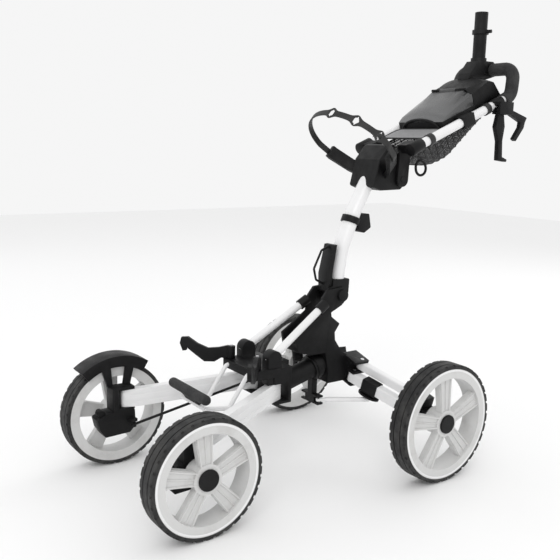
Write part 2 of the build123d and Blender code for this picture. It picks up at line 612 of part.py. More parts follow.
STRAP_WIDTH = 18.0
STRAP_T = 4.0
STRAP_REACH = 125.0
loop_x = tip + 19
outer = Ellipse(loop_x + STRAP_T / 2, STRAP_REACH + STRAP_T / 2)
inner = Ellipse(loop_x - STRAP_T / 2, STRAP_REACH - STRAP_T / 2)
front_half = Pos(0, -100) * Rectangle(400, 200)
strap_face = Pos(0, -35) * ((outer - inner) & front_half)
for side in (-1, 1):
    strap_face += Polygon(
        (side * (loop_x + 2), -35), (side * (loop_x - 2), -35), (side * (tip + 8.2), -6),
        (side * (tip + 6.2), 6), (side * (tip - 8), 24), (side * (tip - 5), 27), (side * (tip + 11), 8),
        (side * (tip + 13), -6),
        align=None,
    )
strap = strap_plane * extrude(strap_face, amount=STRAP_WIDTH / 2, both=True)
pieces["bag_strap"] = strap - bracket
pieces["upper_bracket"] = bracket

# ---- Handle: two sloping tubes and a raised cross grip. Its pieces are drawn on the deck. ----
deck = Plane(origin=(0, py - 15, pz + 80), x_dir=(1, 0, 0), z_dir=(0, -0.378, 0.926))


def deck_plate(points, x0, x1, corner=0.0):
    """Plate with an outline of (distance along the tubes, height above them)."""
    return deck * side_plate(points, x0, x1, corner)


def deck_block(x0, x1, s0, s1, h0, h1):
    return deck * block(x0, x1, s0, s1, h0, h1)


tube_r = HANDLE_TUBE_D / 2
half_spread = HANDLE_SPREAD / 2
GRIP_RISE = 70.0
GRIP_BACK = 36.0
GRIP_FROM = 388.0
BEND_R = 32.0


def handle_path(start):
    back = HANDLE_LENGTH + GRIP_BACK
    line = FilletPolyline(
        (half_spread, start, 0), (half_spread, HANDLE_LENGTH, 0), (half_spread, back, GRIP_RISE),
        (-half_spread, back, GRIP_RISE), (-half_spread, HANDLE_LENGTH, 0), (-half_spread, start, 0),
        radius=BEND_R,
    )
    return line


def along_path(line, radius):
    return sweep(Plane(origin=line @ 0, z_dir=line % 0) * Circle(radius), path=line)


frame_line = handle_path(0.0)
grip_line = handle_path(GRIP_FROM)
frame_solid = deck * along_path(frame_line, tube_r)
grip_solid = deck * along_path(grip_line, GRIP_D / 2)
pieces["handle_frame"] = frame_solid - deck * along_path(frame_line, tube_r - HANDLE_WALL)
pieces["handle_grip"] = grip_solid - frame_solid

# Yoke: a cheek on each stud of the bracket, and a socket for each handle tube.
yoke_in = BRACKET_HALF + SIDE_CLEAR
yoke_out = yoke_in + YOKE_T - 1
yoke = rod((yoke_in, py, pz), (yoke_out, py, pz), 20)
yoke += side_plate(
    [(py - 20, pz), (py - 16, pz + 66), (py - 6, pz + 92), (py + 24, pz + 100), (py + 20, pz)],
    yoke_in, yoke_out, corner=3,
)
yoke += deck_block(yoke_in, half_spread, 2, 34, -12, 12)
yoke += deck * (Pos(half_spread, -4, 0) * Rot(-90, 0, 0) * Cylinder(tube_r + 4, 44, align=UP))
yoke -= frame_solid
yoke -= rod((0, py, pz), (yoke_out + 10, py, pz), STUD_R + RUN_CLEAR)
pieces["handle_yoke"] = Compound([yoke, mirrored(yoke)])

# ---- Console: tray with a rear hood, and a lid hinged at the front edge of the hood ----
TRAY_HALF = 84.0
WALL = 3.0
TRAY_FRONT = 150.0
SEAM = 287.0
tray_block = deck_plate(
    [
        (TRAY_FRONT, -14), (400, -10), (407, 5), (385, 70), (362, 80), (SEAM + 1, 68), (SEAM + 1, 22),
        (TRAY_FRONT, 22),
    ],
    -TRAY_HALF, TRAY_HALF,
)
room = deck_plate(
    [
        (TRAY_FRONT + WALL, -11), (397, -7), (403.5, 5), (382.5, 67), (361.5, 76.7), (SEAM + 1, 64.8),
        (SEAM + 1, 90), (TRAY_FRONT + WALL, 90),
    ],
    -TRAY_HALF + WALL, TRAY_HALF - WALL,
)
tray = tray_block - room
for side in (-1, 1):
    x0, x1 = sorted((side * (TRAY_HALF - 1), side * (half_spread + 16)))
    tray += deck_block(x0, x1, 200, 245, -16, 16)
for cut in (room, frame_solid, grip_solid):
    tray -= cut
AXIS_H = 70.0
KNUCKLE_R = 3.5
LID_KNUCKLE = 30.0


def deck_rod(x0, x1, s, h, radius):
    """Round bar along X, placed by its distance along the tubes and height above them."""
    return deck * (Pos(x0, s, h) * Rot(0, 90, 0) * Cylinder(radius, x1 - x0, align=UP))


for side in (-1, 1):
    x0, x1 = sorted((side * LID_KNUCKLE, side * 62))
    tray += deck_rod(x0, x1, SEAM, AXIS_H, KNUCKLE_R)
    tray += deck_block(x0, x1, SEAM + 1, SEAM + 5, 66, AXIS_H + 1)
lid_gap = LID_KNUCKLE - SIDE_CLEAR
tray -= deck_rod(-LID_KNUCKLE, LID_KNUCKLE, SEAM, AXIS_H, KNUCKLE_R + SIDE_CLEAR)
tray += deck_rod(-LID_KNUCKLE - 4, LID_KNUCKLE + 4, SEAM, AXIS_H, 1.5)
lid = deck_plate(
    [
        (TRAY_FRONT, 22.5), (TRAY_FRONT + 18, 40), (TRAY_FRONT + 50, 52), (SEAM - 1, 68), (SEAM - 1, 22.5),
    ],
    -TRAY_HALF, TRAY_HALF,
)
lid -= deck_plate(
    [
        (TRAY_FRONT + 4.5, 20), (TRAY_FRONT + 20, 37.3), (TRAY_FRONT + 51, 49), (SEAM + 4, 65.5),
        (SEAM + 4, 20),
    ],
    -TRAY_HALF + WALL, TRAY_HALF - WALL,
)
lid -= deck_rod(-62.5, 62.5, SEAM, AXIS_H, KNUCKLE_R + SIDE_CLEAR)
lid += deck_rod(-lid_gap, lid_gap, SEAM, AXIS_H, KNUCKLE_R)
lid += deck_block(-lid_gap, lid_gap, SEAM - 6, SEAM - 1, 66, AXIS_H + 1)
lid -= deck_rod(-40, 40, SEAM, AXIS_H, 1.5 + RUN_CLEAR)
pieces["console_tray"] = tray
pieces["console_lid"] = lid

# Mesh basket slung under the tubes, with four clips round them.
basket = deck_plate(
    [(48, -15), (50, -40), (92, -86), (168, -90), (256, -56), (330, -28), (335, -15)], -78, 78
)
basket -= deck_plate(
    [(50.2, -10), (52.1, -39), (93, -84), (167.6, -88), (255.5, -54), (329, -26.2), (332.7, -10)], -76, 76
)
for side in (-1, 1):
    for s in (64, 304):
        x0, x1 = sorted((side * 77, side * (half_spread + 16)))
        basket += deck_block(x0, x1, s, s + 18, -18, -15)
        x0, x1 = sorted((side * (TRAY_HALF + 0.8), side * (half_spread + 16)))
        basket += deck_block(x0, x1, s, s + 18, -18, 15)
basket -= frame_solid
pieces["mesh_basket"] = basket

# ---- Umbrella holder behind the console ----
UMBRELLA_Y = py + 348
UMBRELLA_Z = pz + 322
umbrella_r = UMBRELLA_TUBE_D / 2
tube_top = UMBRELLA_Z + 10 + UMBRELLA_TUBE_LENGTH
umbrella_at = (0.0, UMBRELLA_Y)
umbrella_solid = upright_pin(umbrella_at, umbrella_r, UMBRELLA_Z, tube_top)
base = side_plate(
    [
        (py + 278, pz + 268), (py + 322, pz + 280), (py + 380, pz + 296), (py + 406, pz + 304),
        (py + 408, pz + 332), (py + 388, pz + 344), (py + 322, pz + 342), (py + 290, pz + 304),
    ],
    -22, 22, corner=4,
)
base += upright_pin(umbrella_at, umbrella_r + 4, UMBRELLA_Z - 12, UMBRELLA_Z + 30)
for cut in (umbrella_solid, grip_solid, tray_block):
    base -= cut
umbrella_tube = umbrella_solid - upright_pin(umbrella_at, UMBRELLA_BORE_D / 2, UMBRELLA_Z + 5, tube_top)
collar = upright_pin(umbrella_at, umbrella_r + 5, tube_top - 62, tube_top - 50)
collar += rod(
    (umbrella_r + 2, UMBRELLA_Y, tube_top - 56), (umbrella_r + 18, UMBRELLA_Y + 4, tube_top - 56), 5
)
collar -= upright_pin(umbrella_at, umbrella_r + RUN_CLEAR, tube_top - 80, tube_top)
pieces["umbrella_base"] = base
pieces["umbrella_tube"] = umbrella_tube
pieces["umbrella_collar"] = collar

# ---- Brake on the left handle tube: bracket, parking lever and finger trigger ----
BRAKE_IN = 106.0
BRAKE_OUT = 134.0
SLOT_IN = 112.5
SLOT_OUT = 127.5
brake_y = py + 312
brake_z = pz + 197
park_at = (brake_y, brake_z)
finger_at = (brake_y + 32, brake_z - 1)
brake = block(BRAKE_IN, BRAKE_OUT, brake_y - 16, brake_y + 42, brake_z - 11, brake_z + 24)
brake -= block(SLOT_IN, SLOT_OUT, brake_y - 30, brake_y + 60, brake_z - 20, brake_z + 14)
brake += deck * (Pos(half_spread, 338, 0) * Rot(-90, 0, 0) * Cylinder(tube_r + 4, 40, align=UP))
brake -= block(SLOT_IN, SLOT_OUT, brake_y - 30, brake_y + 60, brake_z - 20, brake_z + 12)
for at in (park_at, finger_at):
    brake += rod((BRAKE_IN + 2, *at), (BRAKE_OUT - 2, *at), 3)
for cut in (frame_solid, grip_solid, deck_block(40, TRAY_HALF + 0.5, 300, 420, -60, 60)):
    brake -= cut
pieces["brake_bracket"] = brake
park = Pos(0, brake_y, brake_z) * side_plate(
    [
        (-9, -3), (9, -3), (18, -45), (12, -85), (16, -131), (38, -138), (36, -145), (-2, -141),
        (-4, -87), (-20, -47),
    ],
    SLOT_IN + SIDE_CLEAR, SLOT_OUT - SIDE_CLEAR, corner=2,
)
park += rod((SLOT_IN + SIDE_CLEAR, *park_at), (SLOT_OUT - SIDE_CLEAR, *park_at), 10)
park -= rod((BRAKE_IN, *park_at), (BRAKE_OUT, *park_at), 3 + RUN_CLEAR)
finger = Pos(0, brake_y, brake_z) * side_plate(
    [
        (34, 6), (118, -16), (110, -30), (106, -46), (74, -85), (62, -79), (88, -45), (90, -30),
        (32, -8),
    ],
    SLOT_IN + 1.5, SLOT_OUT - 1.5, corner=2,
)
finger += rod((SLOT_IN + SIDE_CLEAR, *finger_at), (SLOT_OUT - SIDE_CLEAR, *finger_at), 8)
finger -= rod((BRAKE_IN, *finger_at), (BRAKE_OUT, *finger_at), 3 + RUN_CLEAR)
pieces["brake_lever"] = park
pieces["brake_trigger"] = finger

# ---- Move everything so the origin is under the middle of the length, and export ----
boxes = [piece.bounding_box() for piece in pieces.values()]
y_front = min(box.min.Y for box in boxes)
y_back = max(box.max.Y for box in boxes)
origin_y = (y_front + y_back) / 2
os.makedirs("parts", exist_ok=True)
for name, piece in pieces.items():
    export_step(Pos(0, -origin_y, 0) * piece, f"parts/{name}.step")
print("pieces", len(pieces), "origin_y", round(origin_y, 3), "length", round(y_back - y_front, 2))
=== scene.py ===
import json
import math

import bpy
from mathutils import Matrix, Vector

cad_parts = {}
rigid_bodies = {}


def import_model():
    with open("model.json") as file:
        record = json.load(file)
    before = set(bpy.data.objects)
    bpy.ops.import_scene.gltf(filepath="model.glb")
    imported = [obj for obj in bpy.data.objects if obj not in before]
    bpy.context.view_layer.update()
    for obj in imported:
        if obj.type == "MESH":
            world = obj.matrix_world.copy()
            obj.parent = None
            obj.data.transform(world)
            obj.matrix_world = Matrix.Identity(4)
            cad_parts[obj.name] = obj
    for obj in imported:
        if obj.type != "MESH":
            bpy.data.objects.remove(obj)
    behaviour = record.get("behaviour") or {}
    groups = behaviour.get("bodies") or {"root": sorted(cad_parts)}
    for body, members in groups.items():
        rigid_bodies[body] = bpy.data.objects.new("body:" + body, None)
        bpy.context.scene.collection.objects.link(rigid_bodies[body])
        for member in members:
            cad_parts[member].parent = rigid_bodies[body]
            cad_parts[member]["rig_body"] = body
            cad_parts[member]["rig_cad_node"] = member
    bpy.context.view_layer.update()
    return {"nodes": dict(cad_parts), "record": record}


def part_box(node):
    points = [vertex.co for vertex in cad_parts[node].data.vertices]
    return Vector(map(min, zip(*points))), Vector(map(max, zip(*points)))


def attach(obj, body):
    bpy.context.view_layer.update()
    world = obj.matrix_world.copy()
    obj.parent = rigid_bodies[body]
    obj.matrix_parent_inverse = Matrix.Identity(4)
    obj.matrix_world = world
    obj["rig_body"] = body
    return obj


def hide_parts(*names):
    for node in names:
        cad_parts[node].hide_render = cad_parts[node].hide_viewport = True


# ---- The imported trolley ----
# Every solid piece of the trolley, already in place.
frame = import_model()
nodes = frame["nodes"]


# ---- Floor, light and camera ----
# A pale seamless floor, a broad soft light from the left, a weaker one from the right and one
# behind. The camera stands in front of the trolley, on its left, at an adult's chest height.
bpy.ops.object.select_all(action="DESELECT")
bpy.ops.mesh.primitive_plane_add(size=14, location=(0, 0, -0.001))
floor = bpy.context.object
floor.name = "studio_floor"
bpy.ops.object.transform_apply(location=True, rotation=True, scale=True)
paper = bpy.data.materials.new("pale_paper")
paper.use_nodes = True
paper.node_tree.nodes["Principled BSDF"].inputs["Base Color"].default_value = (0.92, 0.92, 0.92, 1)
paper.node_tree.nodes["Principled BSDF"].inputs["Roughness"].default_value = 0.9
floor.data.materials.append(paper)

for name, place, size, power, tint in (
    ("key_light", (2.6, -2.4, 3.4), 2.4, 44, (1.0, 0.99, 0.98)),
    ("fill_light", (-3.2, -1.6, 2.2), 3.0, 10, (0.95, 0.97, 1.0)),
    ("rim_light", (-0.6, 3.2, 2.8), 2.2, 20, (1.0, 1.0, 1.0)),
):
    lamp = bpy.data.lights.new(name, "AREA")
    lamp.energy = power
    lamp.size = size
    lamp.color = tint
    stand = bpy.data.objects.new(name, lamp)
    bpy.context.scene.collection.objects.link(stand)
    stand.location = place
    aim = Vector((0.0, 0.0, 0.5)) - Vector(place)
    stand.rotation_euler = aim.to_track_quat("-Z", "Y").to_euler()

sky = bpy.data.worlds.new("studio")
sky.use_nodes = True
sky.node_tree.nodes["Background"].inputs["Color"].default_value = (1.0, 1.0, 1.0, 1)
sky.node_tree.nodes["Background"].inputs["Strength"].default_value = 0.92
bpy.context.scene.world = sky
bpy.context.scene.view_settings.view_transform = "Standard"

look = Vector((-0.797, 0.577, -0.176)).normalized()
level_right = Vector((0.5866, 0.8099, 0.0)).normalized()
level_up = level_right.cross(look)
roll = math.radians(1.455)
right = level_right * math.cos(roll) + level_up * math.sin(roll)
up = right.cross(look)
eye = Vector((1.5273, -1.2535, 0.8285))
lens = bpy.data.cameras.new("front_left_view")
lens.lens = 48
lens.sensor_width = 36
camera = bpy.data.objects.new("front_left_view", lens)
bpy.context.scene.collection.objects.link(camera)
camera.matrix_world = Matrix.Translation(eye) @ Matrix((right, up, -look)).transposed().to_4x4()
bpy.context.scene.camera = camera


# ---- Painted aluminium tubes, rails and struts ----
# Aluminium extrusions with a white powder coat, which has a fine orange-peel skin and a little
# dust in it. The classes here build this finish and the later ones.
class Flow:
    """A number that runs through a finish's nodes, with the ordinary operators."""

    def __init__(self, finish, socket):
        self.finish = finish
        self.socket = socket

    def maths(self, operation, first, second):
        return self.finish.add("ShaderNodeMath", {"operation": operation}, {0: first, 1: second})

    def __add__(self, other):
        return self.maths("ADD", self, other)

    def __radd__(self, other):
        return self.maths("ADD", other, self)

    def __sub__(self, other):
        return self.maths("SUBTRACT", self, other)

    def __rsub__(self, other):
        return self.maths("SUBTRACT", other, self)

    def __mul__(self, other):
        return self.maths("MULTIPLY", self, other)

    def __rmul__(self, other):
        return self.maths("MULTIPLY", other, self)

    def __lt__(self, other):
        return self.maths("LESS_THAN", self, other)


class Finish:
    """A material made of nodes, with one method that adds any node."""

    def __init__(self, name):
        self.material = bpy.data.materials.new(name)
        self.material.use_nodes = True
        self.tree = self.material.node_tree
        self.shader = self.tree.nodes["Principled BSDF"]
        self.place = self.add("ShaderNodeTexCoord", output="Object")

    def add(self, kind, settings=None, sockets=None, output=0):
        node = self.tree.nodes.new(kind)
        for key, value in (settings or {}).items():
            setattr(node, key, value)
        for key, value in (sockets or {}).items():
            self.join(node.inputs[key], value)
        return Flow(self, node.outputs[output])

    def join(self, socket, value):
        if isinstance(value, Flow):
            self.tree.links.new(value.socket, socket)
        else:
            socket.default_value = value

    def noise(self, scale, detail=4.0, rough=0.5, where=None):
        return self.add(
            "ShaderNodeTexNoise", None,
            {"Vector": where or self.place, "Scale": scale, "Detail": detail, "Roughness": rough},
        )

    def cells(self, scale, where=None):
        return self.add(
            "ShaderNodeTexVoronoi", None, {"Vector": where or self.place, "Scale": scale}
        )

    def stretched(self, scale):
        return self.add("ShaderNodeMapping", None, {"Vector": self.place, "Scale": scale})

    def parts(self):
        split = self.add("ShaderNodeSeparateXYZ", None, {"Vector": self.place})
        outs = split.socket.node.outputs
        return [Flow(self, outs[k]) for k in range(3)]

    def clamp(self, value, low, high, to_low=0.0, to_high=1.0):
        return self.add(
            "ShaderNodeMapRange", {"clamp": True},
            {
                "Value": value, "From Min": low, "From Max": high,
                "To Min": to_low, "To Max": to_high,
            },
        )

    def blend(self, mask, first, second):
        mix = self.add("ShaderNodeMix", {"data_type": "RGBA"}, {0: mask})
        node = mix.socket.node
        self.join(node.inputs[6], first)
        self.join(node.inputs[7], second)
        return Flow(self, node.outputs[2])

    def bump(self, height, strength, distance):
        bump = self.add(
            "ShaderNodeBump", None, {"Height": height, "Strength": strength, "Distance": distance},
        )
        self.join(self.shader.inputs["Normal"], bump)

    def set(self, **sockets):
        for key, value in sockets.items():
            self.join(self.shader.inputs[key.replace("_", " ")], value)


def dress(names, finish):
    """Gives the named solid pieces a finish."""
    for name in names:
        mesh = nodes[name].data
        mesh.materials.clear()
        mesh.materials.append(finish.material)


def rgb(r, g, b):
    return (r, g, b, 1.0)


white = Finish("white_powder_coat")
peel = white.noise(900, 2)
dust = white.clamp(white.noise(9, 6, 0.6), 0.5, 0.75)
white.set(
    Base_Color=white.blend(dust * 0.35, rgb(0.82, 0.82, 0.825), rgb(0.68, 0.68, 0.67)),
    Roughness=white.clamp(white.noise(60), 0.3, 0.7, 0.28, 0.4),
    Coat_Weight=0.25,
)
white.bump(peel, 0.12, 0.0004)
sides = ("left", "right")
dress(["spine_tubes", "bag_rest_frame", "upright_tube", "handle_frame"], white)
for side in sides:
    dress([f"front_{side}_rail"], white)
    dress([f"rear_{side}_arm", f"rear_{side}_link", f"rear_{side}_strut"], white)


# ---- Black moulded brackets, housings and carriers ----
# Glass-filled nylon mouldings with a fine spark-eroded grain. They are bolted or pinned round the
# tubes. Dust makes them a little greyer in patches.
black = Finish("black_grained_nylon")
grain = black.noise(1400, 3) + black.cells(2200) * 0.5
patches = black.clamp(black.noise(7, 6, 0.65), 0.45, 0.75)
black.set(
    Base_Color=black.blend(patches, rgb(0.004, 0.004, 0.0044), rgb(0.012, 0.012, 0.0123)),
    Roughness=black.clamp(black.noise(40, 3), 0.3, 0.7, 0.42, 0.6),
    Specular_IOR_Level=0.22,
)
black.bump(grain, 0.25, 0.0004)
dress(
    [
        "main_housing", "spine_sockets", "crosshead", "fold_slider", "upright_foot", "fold_catch",
        "upper_bracket", "handle_yoke", "latch_lever", "umbrella_base", "umbrella_tube",
        "umbrella_collar", "brake_bracket", "brake_lever", "brake_trigger", "lower_left_bag_arm",
        "lower_right_bag_arm", "console_tray",
    ],
    black,
)
for end in ("front", "rear"):
    for side in sides:
        dress([f"{end}_{side}_carrier", f"{end}_{side}_hub"], black)
for side in sides:
    dress([f"rear_{side}_clamp", f"front_{side}_tie_rod"], black)


# ---- Axles and pins ----
# Turned steel with a zinc plate. The turning marks run round the bar.
steel = Finish("plated_steel")
marks = steel.noise(300, 3, 0.5, steel.stretched((14, 1, 1)))
steel.set(
    Base_Color=steel.blend(marks, rgb(0.5, 0.5, 0.51), rgb(0.68, 0.68, 0.69)),
    Metallic=1.0,
    Roughness=steel.clamp(marks, 0.3, 0.7, 0.26, 0.42),
)
steel.bump(marks, 0.1, 0.0002)
dress(["pivot_pins"], steel)
for end in ("front", "rear"):
    for side in sides:
        dress([f"{end}_{side}_axle"], steel)


# ---- Tyres ----
# Foam-filled rubber tyres. Their tread is a smooth crown with a groove on each side of it, and a
# row of square shoulder blocks along both edges. The ground has greyed the crown.
rubber = Finish("tyre_rubber")
skin = rubber.noise(700, 4, 0.6)
soil = rubber.clamp(rubber.noise(26, 6, 0.7), 0.45, 0.72)
rubber.set(
    Base_Color=rubber.blend(soil, rgb(0.008, 0.008, 0.0085), rgb(0.04, 0.039, 0.037)),
    Roughness=rubber.clamp(rubber.noise(50, 4), 0.3, 0.7, 0.55, 0.78),
)
rubber.bump(skin, 0.3, 0.0006)

TREAD_BLOCKS = 34
FACES_A_BLOCK = 4
BLOCK_HEIGHT = 0.0034
TYRE_SECTION = (
    (-0.62, 0.835), (-0.85, 0.86), (-0.99, 0.92), (-1.0, 0.965), (-0.975, 0.995), (-0.83, 1.0),
    (-0.46, 1.0), (-0.36, 1.0), (0.36, 1.0), (0.46, 1.0), (0.83, 1.0), (0.975, 0.995), (1.0, 0.965),
    (0.99, 0.92), (0.85, 0.86), (0.62, 0.835),
)


def finish_piece(piece, finish, angle=30):
    """Shades a piece, puts its place in its mesh, gives it its finish and returns it."""
    bpy.ops.object.select_all(action="DESELECT")
    piece.select_set(True)
    bpy.context.view_layer.objects.active = piece
    bpy.ops.object.transform_apply(location=True, rotation=True, scale=True)
    bpy.ops.object.shade_smooth_by_angle(angle=math.radians(angle))
    piece.data.materials.clear()
    piece.data.materials.append(finish.material)
    return piece


def apply_modifier(piece, name, kind, **settings):
    """Adds a modifier with its settings and applies it."""
    modifier = piece.modifiers.new(name, kind)
    for key, value in settings.items():
        setattr(modifier, key, value)
    bpy.ops.object.select_all(action="DESELECT")
    piece.select_set(True)
    bpy.context.view_layer.objects.active = piece
    bpy.ops.object.modifier_apply(modifier=modifier.name)


def pick_faces(piece, wanted):
    """In edit mode, selects only the faces for which wanted(centre, normal) is true."""
    bpy.context.view_layer.objects.active = piece
    bpy.ops.object.mode_set(mode="EDIT")
    bpy.ops.mesh.select_mode(type="FACE")
    bpy.ops.mesh.select_all(action="DESELECT")
    bpy.ops.object.mode_set(mode="OBJECT")
    for polygon in piece.data.polygons:
        polygon.select = bool(wanted(polygon.center, polygon.normal))
    bpy.ops.object.mode_set(mode="EDIT")


def tyre(node):
    low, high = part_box(node)
    middle = (low + high) / 2
    base = (high.z - low.z) / 2 - BLOCK_HEIGHT
    half = (high.x - low.x) / 2
    around = TREAD_BLOCKS * FACES_A_BLOCK
    rows = len(TYRE_SECTION) - 1
    bpy.ops.object.select_all(action="DESELECT")
    bpy.ops.mesh.primitive_grid_add(x_subdivisions=around, y_subdivisions=rows, size=1)
    piece = bpy.context.object
    piece.name = node.replace("_tyre", "_tread_tyre")
    for v in piece.data.vertices:
        angle = 2 * math.pi * (v.co.x + 0.5)
        x, share = TYRE_SECTION[round((v.co.y + 0.5) * rows)]
        v.co = (x * half, base * share * math.cos(angle), base * share * math.sin(angle))
    bpy.ops.object.mode_set(mode="EDIT")
    bpy.ops.mesh.select_all(action="SELECT")
    bpy.ops.mesh.remove_doubles(threshold=0.00001)
    bpy.ops.mesh.normals_make_consistent(inside=False)
    bpy.ops.object.mode_set(mode="OBJECT")
    turn = 2 * math.pi / around

    def raised(centre, normal):
        if math.hypot(centre.y, centre.z) < base * 0.985:
            return False
        spot = int((math.atan2(centre.z, centre.y) % (2 * math.pi)) / turn)
        across = abs(centre.x) / half
        if across > 0.83:
            return spot % FACES_A_BLOCK != 0
        return across < 0.36 or across > 0.46

    pick_faces(piece, raised)
    bpy.ops.mesh.extrude_region_shrink_fatten(
        TRANSFORM_OT_shrink_fatten={"value": BLOCK_HEIGHT * 0.98}
    )
    bpy.ops.object.mode_set(mode="OBJECT")
    piece.location = middle
    apply_modifier(
        piece, "worn edges", "BEVEL", width=0.0007, segments=1, limit_method="ANGLE",
        angle_limit=math.radians(40),
    )
    finish_piece(piece, rubber, 35)
    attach(piece, node.replace("_tyre", "_wheel"))
    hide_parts(node)


for end in ("front", "rear"):
    for side in sides:
        tyre(f"{end}_{side}_tyre")


# ---- Rims ----
# Off-white moulded wheels with five spokes. A raised ring runs round the edge, and each spoke has
# a rib along both edges and one down its middle.
shell = Finish("off_white_rim_plastic")
grime = shell.clamp(shell.noise(14, 6, 0.7), 0.5, 0.78)
shell.set(
    Base_Color=shell.blend(grime, rgb(0.62, 0.62, 0.615), rgb(0.5, 0.495, 0.485)),
    Roughness=shell.clamp(shell.noise(80, 3), 0.3, 0.7, 0.35, 0.5),
)
shell.bump(shell.noise(1200, 2), 0.1, 0.0003)
SPOKES = 5
SPOKE_START = math.radians(23)


def rim_ribs(node):
    low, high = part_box(node)
    middle = (low + high) / 2
    outward = 1 if middle.x > 0 else -1
    edge = (high.z - low.z) / 2
    face = outward * 0.018
    inner = edge - 0.0235
    bpy.ops.object.select_all(action="DESELECT")
    bpy.ops.mesh.primitive_torus_add(
        major_radius=edge - 0.0036, minor_radius=0.0032, major_segments=96, minor_segments=10,
        location=(outward * 0.0242, 0, 0), rotation=(0, math.pi / 2, 0),
    )
    ring = bpy.context.object
    ring.name = node + "_edge_ring"
    ring.data.transform(ring.matrix_world)
    ring.matrix_world = Matrix.Translation(middle)
    finish_piece(ring, white, 60)
    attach(ring, node.replace("_rim", "_wheel"))
    bars = []
    for k in range(SPOKES):
        for lean in (-1, 0, 1):
            length = inner - 0.022
            bpy.ops.mesh.primitive_cube_add(size=1)
            bar = bpy.context.object
            bar.scale = (0.006 if lean else 0.004, length, 0.004 if lean else 0.003)
            bpy.ops.object.transform_apply(scale=True, location=False, rotation=False)
            pick_faces(bar, lambda centre, normal: normal.x * outward > 0.9)
            bpy.ops.mesh.inset(thickness=0.0008)
            bpy.ops.transform.translate(value=(outward * 0.0012, 0, 0))
            bpy.ops.object.mode_set(mode="OBJECT")
            tilt = lean * math.atan2(0.006, length)
            turn = Matrix.Rotation(SPOKE_START + 2 * math.pi * k / SPOKES, 4, "X")
            start = Matrix.Translation((face, 0.022 + length / 2, lean * 0.015))
            bar.matrix_world = turn @ start @ Matrix.Rotation(tilt, 4, "X")
            bars.append(bar)
    bpy.ops.object.select_all(action="DESELECT")
    for bar in bars:
        bar.select_set(True)
    bpy.context.view_layer.objects.active = bars[0]
    bpy.ops.object.join()
    ribs = bars[0]
    ribs.name = node + "_spoke_ribs"
    bpy.ops.object.transform_apply(location=True, rotation=True, scale=True)
    ribs.location = middle
    finish_piece(ribs, shell, 40)
    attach(ribs, node.replace("_rim", "_wheel"))


for end in ("front", "rear"):
    for side in sides:
        dress([f"{end}_{side}_rim"], shell)
        rim_ribs(f"{end}_{side}_rim")


# ---- Cross grip and bag rest pad ----
# Closed-cell foam pulled over the handle tube, and a soft rubber roll that the bag's foot stands
# on. Both give a little and have no hard edge.
foam = Finish("closed_cell_foam")
pores = foam.cells(1500) + foam.noise(500, 4) * 0.6
foam.set(
    Base_Color=foam.blend(
        foam.clamp(foam.noise(20, 5), 0.4, 0.7), rgb(0.02, 0.02, 0.021), rgb(0.042, 0.042, 0.042)
    ),
    Roughness=foam.clamp(foam.noise(90), 0.3, 0.7, 0.75, 0.92),
)
foam.bump(pores, 0.5, 0.0008)


def copy_solid(node, name):
    """A welded copy of a solid piece, to work on."""
    piece = nodes[node].copy()
    piece.data = nodes[node].data.copy()
    piece.name = name
    piece.parent = None
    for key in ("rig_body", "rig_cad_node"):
        if key in piece:
            del piece[key]
    bpy.context.scene.collection.objects.link(piece)
    bpy.ops.object.select_all(action="DESELECT")
    piece.select_set(True)
    bpy.context.view_layer.objects.active = piece
    bpy.ops.object.mode_set(mode="EDIT")
    bpy.ops.mesh.select_all(action="SELECT")
    bpy.ops.mesh.remove_doubles(threshold=0.00001)
    bpy.ops.object.mode_set(mode="OBJECT")
    return piece


def softened_copy(node, name, voxel, finish, body):
    piece = copy_solid(node, name)
    apply_modifier(piece, "skin", "REMESH", mode="VOXEL", voxel_size=voxel)
    apply_modifier(piece, "soft", "SMOOTH", factor=0.8, iterations=6)
    finish_piece(piece, finish, 80)
    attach(piece, body)
    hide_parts(node)
    return piece


grip = softened_copy("handle_grip", "foam_cross_grip", 0.0028, foam, "handle")
pad = softened_copy("bag_rest_pad", "bag_rest_roll", 0.0024, foam, "chassis")


# ---- Rounded edges on the black mouldings ----
# No moulding has a knife edge: each has a small radius where two faces meet, which
# catches the light as a thin line. Every copy here has that radius and stands for its sharp solid.
bodies = frame["record"]["behaviour"]["bodies"]
body_of = {node: body for body, members in bodies.items() for node in members}


def rounded_copy(node, finish, radius, corner=32):
    piece = copy_solid(node, node + "_rounded")
    bpy.ops.object.mode_set(mode="EDIT")
    bpy.ops.mesh.select_all(action="SELECT")
    bpy.ops.mesh.dissolve_limited(angle_limit=math.radians(0.5))
    bpy.ops.object.mode_set(mode="OBJECT")
    apply_modifier(
        piece, "edge radius", "BEVEL", width=radius, segments=2, limit_method="ANGLE",
        angle_limit=math.radians(corner), use_clamp_overlap=True,
    )
    finish_piece(piece, finish, 34)
    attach(piece, body_of[node])
    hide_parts(node)
    return piece


for node in (
    "main_housing", "crosshead", "upright_foot", "upper_bracket", "handle_yoke", "umbrella_base",
    "brake_bracket", "brake_lever", "brake_trigger", "lower_left_bag_arm", "lower_right_bag_arm",
    "latch_lever", "fold_catch", "front_left_carrier", "front_right_carrier", "rear_left_carrier",
    "rear_right_carrier", "rear_left_clamp", "rear_right_clamp", "front_left_hub",
    "front_right_hub", "rear_left_hub", "rear_right_hub",
):
    rounded_copy(node, black, 0.0012)


